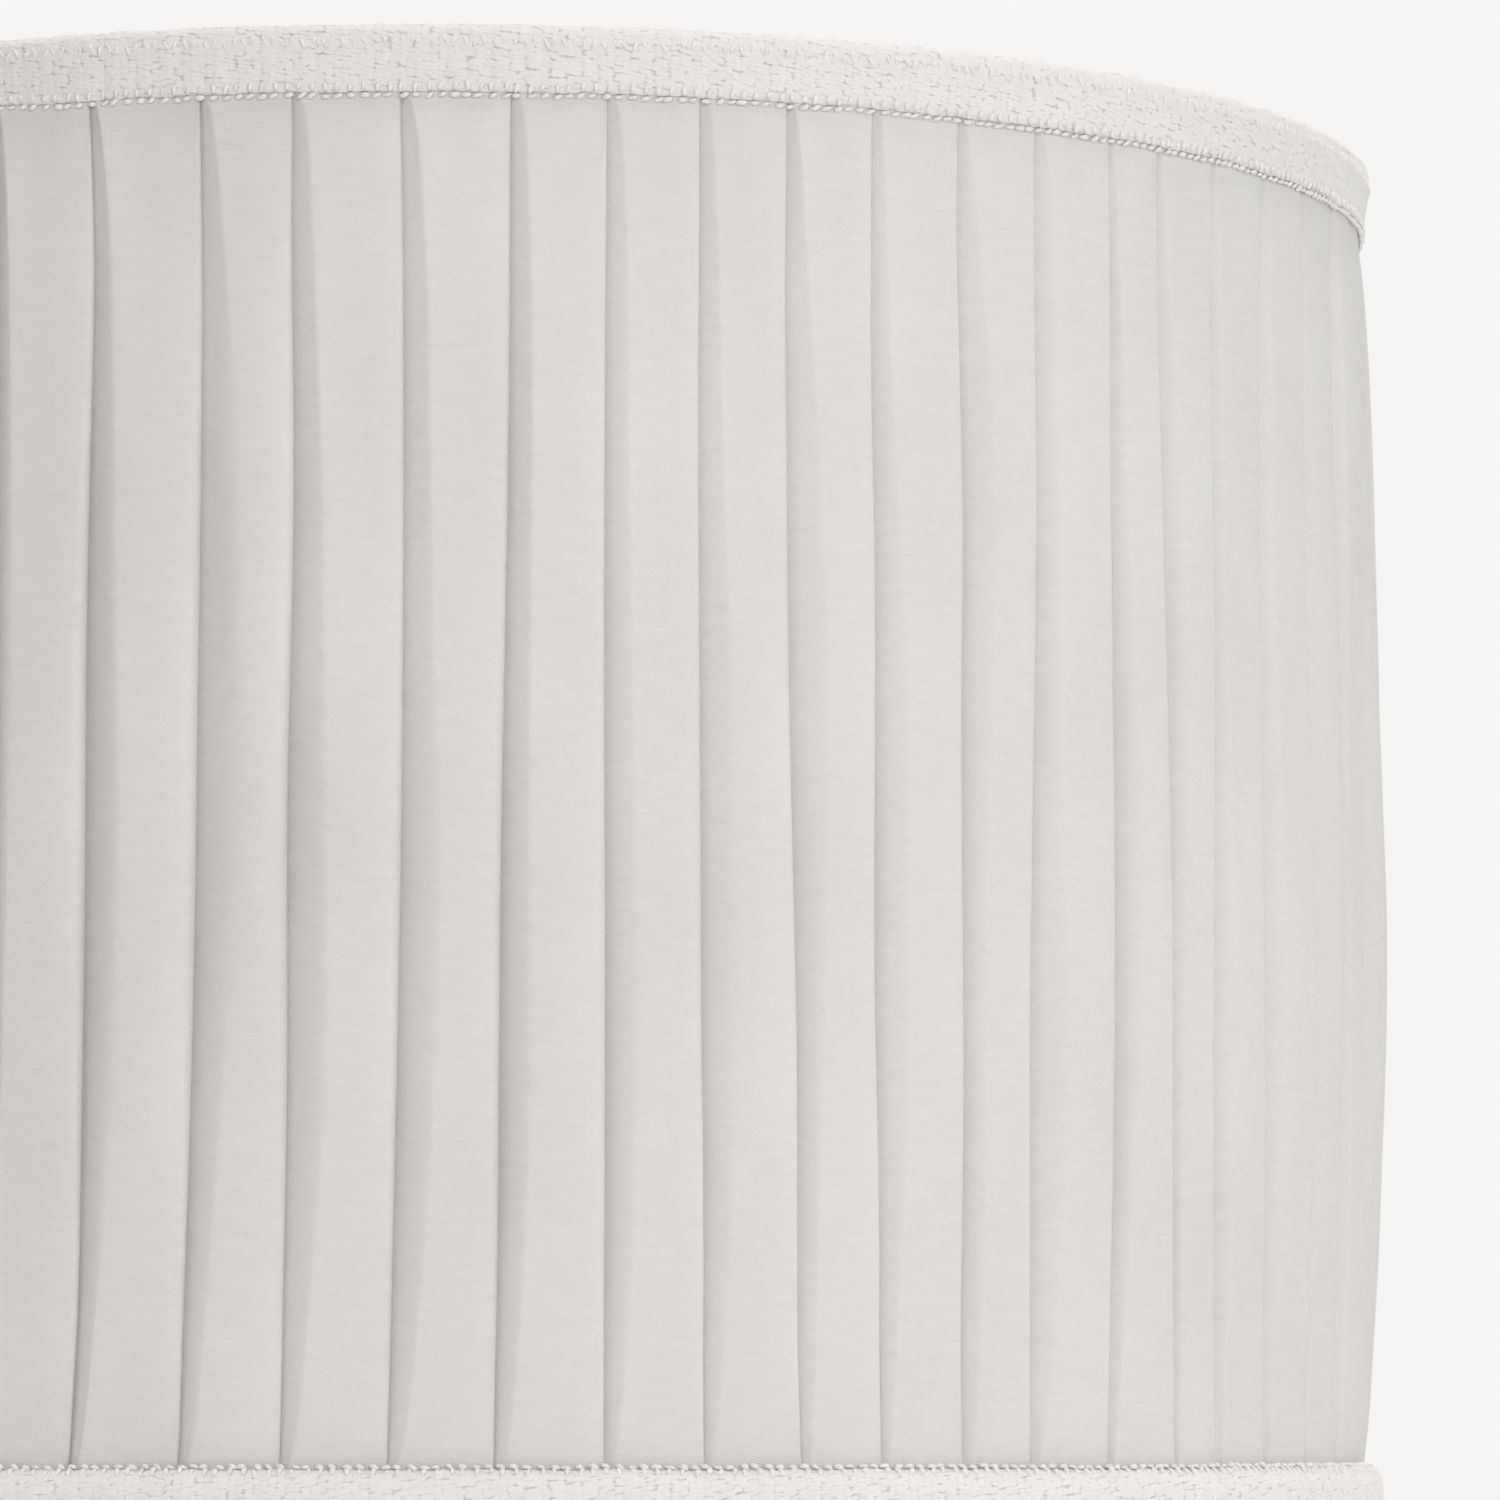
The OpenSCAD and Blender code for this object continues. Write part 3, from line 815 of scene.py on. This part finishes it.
# ------------------------------------------------------------------ the lining, inside the struts
def lining_half(i):
    """One sewn half, stretched between the rings so that it draws in a little between them."""
    rng = np.random.RandomState(SEED + 20 + i)
    columns, rows = 260, 64
    draw_in = 0.6
    seam_gap = 0.0004
    a = np.linspace(math.pi * (i - 1) + seam_gap, math.pi * i - seam_gap, columns)
    z = np.linspace(BOTTOM_Z, TOP_Z, rows)
    pulls = noise_line(rng, 40, 0.22, 30, 6)
    drag = noise_plane(rng, 20, 0.10, 90, 24, 0.4)
    arc_mm = a * RING_R / MM
    points, us, vs = [], [], []
    turn_r = LINING_R - 0.1 * MM
    under = arc((RING_R, BOTTOM_Z), turn_r, -90, -180, 5)[:-1]
    over = arc((RING_R, TOP_Z), turn_r, 180, 90, 5)[1:]
    section = under + [(RING_R - turn_r, h) for h in z] + over
    section = np.array(section)
    lengths = np.concatenate([[0], np.cumsum(np.linalg.norm(np.diff(section, axis=0), axis=1))])
    for j, (r, h) in enumerate(section):
        t = np.clip((h - BOTTOM_Z) / (TOP_Z - BOTTOM_Z), 0, 1)
        span = math.sin(math.pi * t) if 0 < t < 1 else 0.0
        near = math.exp(-min(t, 1 - t) * (TOP_Z - BOTTOM_Z) / (14 * MM)) * smooth(40 * min(t, 1 - t))
        seam = np.exp(-np.minimum(a - a[0], a[-1] - a) * RING_R / (1.6 * MM))
        inward = draw_in * span + pulls(arc_mm) * near + drag(arc_mm, h / MM) * span
        inward = inward * (1 - seam) + seam * (0.6 * draw_in * span)
        rr = r - inward * MM
        points += list(np.stack([rr * np.cos(a), rr * np.sin(a), np.full(columns, h)], 1))
        us += list(a * RING_R)
        vs += [lengths[j]] * columns
    faces = grid_faces(len(section), columns, False, False)
    faces = [f for f in faces if not over_arm(np.mean([points[k] for k in f], axis=0))]
    used = sorted({k for f in faces for k in f})
    renumber = {k: n for n, k in enumerate(used)}
    faces = [tuple(renumber[k] for k in f)[::-1] for f in faces]
    obj = new_mesh(f"lining_cloth_{i}", [points[k] for k in used], faces,
                   [(us[k], vs[k]) for k in used])
    dress(obj, material(lining_cloth))
    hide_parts(f"lining_{i}")
    return obj, lengths[-1]


def over_arm(p):
    """Whether a point lies in the slit that an arm leaves the rim by."""
    a = math.atan2(p[1], p[0]) % (2 * math.pi)
    for arm in ARM_ANGLES:
        side = math.sin(a - arm) * math.hypot(p[0], p[1])
        if abs(side) < ARM_R + 0.3 * MM and math.cos(a - arm) > 0:
            if p[2] > TOP_Z - ARM_R - 0.3 * MM:
                return True
    return False


def seam_band(i, angle):
    """The narrow pressed seam that joins the two halves of the lining."""
    rng = np.random.RandomState(SEED + 40 + i)
    rows, half = 90, 2.2 * MM
    z = np.linspace(BOTTOM_Z + 1.0 * MM, TOP_Z - 1.0 * MM, rows)
    across = np.linspace(-1, 1, 9)
    rise = np.array([0.0, 0.28, 0.34, 0.2, -0.02, 0.2, 0.34, 0.28, 0.0]) * MM
    wob = noise_line(rng, 8, 0.12, 60, 12)
    points, uvs = [], []
    for h in z:
        t = (h - BOTTOM_Z) / (TOP_Z - BOTTOM_Z)
        r = LINING_WALL_R + 0.1 * MM - 0.36 * MM * math.sin(math.pi * t)
        for c, (x, lift) in enumerate(zip(across, rise)):
            a = angle + (x * half + wob(h / MM + 31 * c) * 0.2 * MM) / r
            rr = r - lift - 0.05 * MM
            points.append((rr * math.cos(a), rr * math.sin(a), h))
            uvs.append((x * half, h))
    faces = [f[::-1] for f in grid_faces(rows, len(across), False, False)]
    obj = new_mesh(f"lining_seam_{i}", points, faces, uvs)
    dress(obj, material(lining_cloth))
    return obj


def lining():
    seams = [seam_band(i, angle) for i, angle in ((1, 0.0), (2, math.pi))]
    for i in (1, 2):
        obj, cut = lining_half(i)


# ------------------------------------------------------------------ bindings and arm covers
def binding(node, centre_z, seed):
    """Cotton tape wound round a ring, each turn lapping over part of the one before."""
    rng = np.random.RandomState(seed)
    turns, per_turn, across = 118, 16, 5
    wide = 10.2 * MM
    lap = 0.22 * MM
    steps = turns * per_turn
    t = np.arange(steps + 1) / per_turn
    shares = np.linspace(-0.5, 0.5, across)
    jog = periodic_noise(rng, 24, 0.4 * MM, 5, 90)(2 * math.pi * t / turns)
    points = np.zeros((steps + 1, across, 3))
    for c, w in enumerate(shares):
        out = BINDING_R - lap * (0.5 - w)
        b = 2 * math.pi * t
        a = 2 * math.pi * t / turns + (w * wide + jog) / RING_R
        r = RING_R + out * np.cos(b)
        points[:, c, 0] = r * np.cos(a)
        points[:, c, 1] = r * np.sin(a)
        points[:, c, 2] = centre_z + out * np.sin(b)
    faces = grid_faces(steps + 1, across, False, False)
    around = 2 * math.pi * BINDING_R
    uvs = [(k // across * around / per_turn, shares[k % across] * wide)
           for k in range((steps + 1) * across)]
    obj = new_mesh(f"{node}_tape", points.reshape(-1, 3), faces, uvs)
    dress(obj, material(binding_cotton))
    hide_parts(node)


def arm_cover(i):
    """A strip of lining folded in two, which passes under an arm and up both sides of it."""
    rng = np.random.RandomState(SEED + 60 + i)
    node = f"arm_cover_{i}"
    arm = ARM_ANGLES[i - 1]
    lo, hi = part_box("arm_cover_1")
    half = (hi[0] - lo[0]) / 2
    thick = hi[1] - lo[1]
    middle_y = (lo[1] + hi[1]) / 2
    top = hi[2] - 0.05 * MM
    inner = ARM_R + 0.08 * MM
    wide = half - inner
    layers = 9
    crease = noise_line(rng, 8, 0.10 * MM, 9, 2.5)
    rows = [("left", z) for z in np.linspace(top, TOP_Z, 5)]
    rows += [("turn", t) for t in np.linspace(0, math.pi, 27)[1:-1]]
    rows += [("right", z) for z in np.linspace(TOP_Z, top, 5)]
    across = [(1 - c / (layers - 1), -1) for c in range(layers)]
    across += [(c / (layers - 1), 1) for c in range(1, layers)]
    points, uvs = [], []
    for n, (part, value) in enumerate(rows):
        for c, (w, side) in enumerate(across):
            reach = inner + wide * w
            if part == "turn":
                x, z = -reach * math.cos(value), TOP_Z - reach * math.sin(value)
            else:
                x, z = (-reach if part == "left" else reach), value
            apart = side * thick * 0.30 * min(1.0, 3.0 * w)
            y = middle_y + apart + crease(w * 5 + n * 0.35)
            points.append((x, y, z))
            uvs.append((c * wide / (layers - 1), n * 0.6 * MM))
    turned = Matrix.Rotation(arm - math.pi / 2, 3, "Z")
    points = [turned @ Vector(p) for p in points]
    obj = new_mesh(f"{node}_strip", points, grid_faces(len(rows), len(across), False, False), uvs)
    dress(obj, material(lining_cloth))
    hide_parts(node)


# ------------------------------------------------------------------ metal and plastic CAD pieces
def finish_cad():
    for name in frame["nodes"]:
        node = frame["nodes"][name]
        if name.startswith(("strut", "top_ring", "bottom_ring")) and not name.endswith("binding"):
            dress(node, material(enamel, "frame_enamel", ENAMEL, 0.35))
        elif name.startswith("fitter"):
            dress(node, material(enamel, "fitter_enamel", tint(ENAMEL, 1.02), 0.55))
        elif name == "reducer_ring":
            dress(node, material(reducer_plastic))


# ------------------------------------------------------------------ camera, lights and floor
# Place in metres and turns in radians, from a perspective fit to the photo's rims and tapes
CAMERA_AT = (0.0, -1.2838, 0.0133)
CAMERA_PITCH, CAMERA_YAW, CAMERA_ROLL = 0.0884, 0.0379, -0.0008
LENS_MM = 189.3
BACKGROUND = (0.930, 0.912, 0.904)


def camera():
    data = bpy.data.cameras.new("camera")
    data.lens = LENS_MM
    data.sensor_width = 36
    data.clip_start, data.clip_end = 0.05, 30
    obj = bpy.data.objects.new("camera", data)
    turn = (Matrix.Rotation(-CAMERA_YAW, 4, "Z") @ Matrix.Rotation(math.pi / 2 + CAMERA_PITCH, 4, "X")
            @ Matrix.Rotation(CAMERA_ROLL, 4, "Z"))
    obj.matrix_world = Matrix.Translation(CAMERA_AT) @ turn
    bpy.context.scene.collection.objects.link(obj)
    bpy.context.scene.camera = obj


def area_light(name, azimuth, elevation, distance, size, power, colour):
    """Azimuth in degrees to the right of the front, as seen by the camera."""
    data = bpy.data.lights.new(name, "AREA")
    data.shape = "SQUARE"
    data.size = size
    data.energy = power
    data.color = colour
    obj = bpy.data.objects.new(name, data)
    a, e = math.radians(azimuth), math.radians(elevation)
    target = Vector((0, 0, SHADE_H / 2))
    way = Vector((math.sin(a) * math.cos(e), -math.cos(a) * math.cos(e), math.sin(e)))
    obj.location = target + way * distance
    obj.rotation_mode = "QUATERNION"
    obj.rotation_quaternion = way.to_track_quat("Z", "Y")
    obj.visible_camera = False
    bpy.context.scene.collection.objects.link(obj)


# Azimuth and elevation in degrees, distance and size in metres, watts, colour
LIGHTS = {
    "front": (5, 10, 2.4, 1.2, 26.0, (1.035, 1.0, 0.99)),
    "front_left": (-30, 10, 2.4, 1.2, 6.4, (1.04, 1.0, 0.99)),
    "front_right": (60, 10, 2.4, 1.2, 6.0, (1.005, 1.0, 0.993)),
    "right": (90, 10, 2.4, 1.2, 21.0, (0.995, 1.0, 0.996)),
    "above": (0, 80, 2.4, 1.6, 40.0, (1.04, 1.0, 1.0)),
    "below": (20, -20, 2.4, 1.2, 12.0, (1.025, 1.0, 0.985)),
    "behind_right": (150, 32, 2.6, 1.8, 26.0, (1.0, 0.99, 0.98)),
    "behind_left": (-120, 32, 2.6, 1.8, 28.0, (1.0, 0.99, 0.98)),
}
AMBIENT = 0.1
AMBIENT_COLOUR = (1.03, 1.0, 0.993)


def lights():
    for name, values in LIGHTS.items():
        area_light(name, *values)


def world():
    w = bpy.data.worlds.new("studio")
    w.use_nodes = True
    tree = w.node_tree
    back = tree.nodes["Background"]
    back.inputs[0].default_value = (*BACKGROUND, 1)
    back.inputs[1].default_value = 1.0
    soft = tree.nodes.new("ShaderNodeBackground")
    soft.inputs[0].default_value = (*AMBIENT_COLOUR, 1)
    soft.inputs[1].default_value = AMBIENT
    path = tree.nodes.new("ShaderNodeLightPath")
    mix = tree.nodes.new("ShaderNodeMixShader")
    tree.links.new(path.outputs["Is Camera Ray"], mix.inputs[0])
    tree.links.new(soft.outputs[0], mix.inputs[1])
    tree.links.new(back.outputs[0], mix.inputs[2])
    tree.links.new(mix.outputs[0], tree.nodes["World Output"].inputs[0])
    bpy.context.scene.world = w


FLOOR_R = 0.76
FLOOR_FADE = (0.36, 0.74)
FLOOR_GAP = 0.1 * MM


def floor():
    """A pale disc that fades into the background before its rim."""
    segments, rings = 96, 14
    radii = np.linspace(0.0, FLOOR_R, rings + 1)[1:]
    points = [(0, 0, FLOOR_Z - FLOOR_GAP)]
    faces = []
    for r in radii:
        for i in range(segments):
            a = 2 * math.pi * i / segments
            points.append((r * math.cos(a), r * math.sin(a), FLOOR_Z - FLOOR_GAP))
    for i in range(segments):
        faces.append((0, 1 + i, 1 + (i + 1) % segments))
    for j in range(rings - 1):
        for i in range(segments):
            n = (i + 1) % segments
            a, b = 1 + j * segments, 1 + (j + 1) * segments
            faces.append((a + i, b + i, b + n, a + n))
    mesh = bpy.data.meshes.new("floor")
    mesh.from_pydata(points, [], faces)
    obj = bpy.data.objects.new("floor", mesh)
    bpy.context.scene.collection.objects.link(obj)
    n = Nodes("floor_paper", 0.9, Specular_IOR_Level=0.1)
    at = n.place()
    parts = n.add("ShaderNodeSeparateXYZ", inputs={0: at})
    far = n.math("SQRT", n.math("ADD", n.math("MULTIPLY", parts.outputs[0], parts.outputs[0]),
                                n.math("MULTIPLY", parts.outputs[1], parts.outputs[1])))
    shown = n.add("ShaderNodeMapRange", interpolation_type="SMOOTHSTEP", inputs={
        "Value": far, "From Min": FLOOR_FADE[0], "From Max": FLOOR_FADE[1], "To Min": 1.0,
        "To Max": 0.0}).outputs[0]
    tone = n.ramp(n.noise(at, 18.0, 3.0), (0.3, (0.86, 0.85, 0.84)), (0.7, (0.88, 0.87, 0.86)))
    n.tree.links.new(shown, n.shader.inputs["Alpha"])
    n.finish(tone)
    mesh.materials.append(n.mat)


def main():
    bpy.context.scene.view_settings.view_transform = "Standard"
    camera()
    lights()
    world()
    floor()
    finish_cad()
    pleated_cover()
    tapes()
    lining()
    binding("top_ring_binding", TOP_Z, SEED + 70)
    binding("bottom_ring_binding", BOTTOM_Z, SEED + 71)
    for i in (1, 2, 3):
        arm_cover(i)


main()
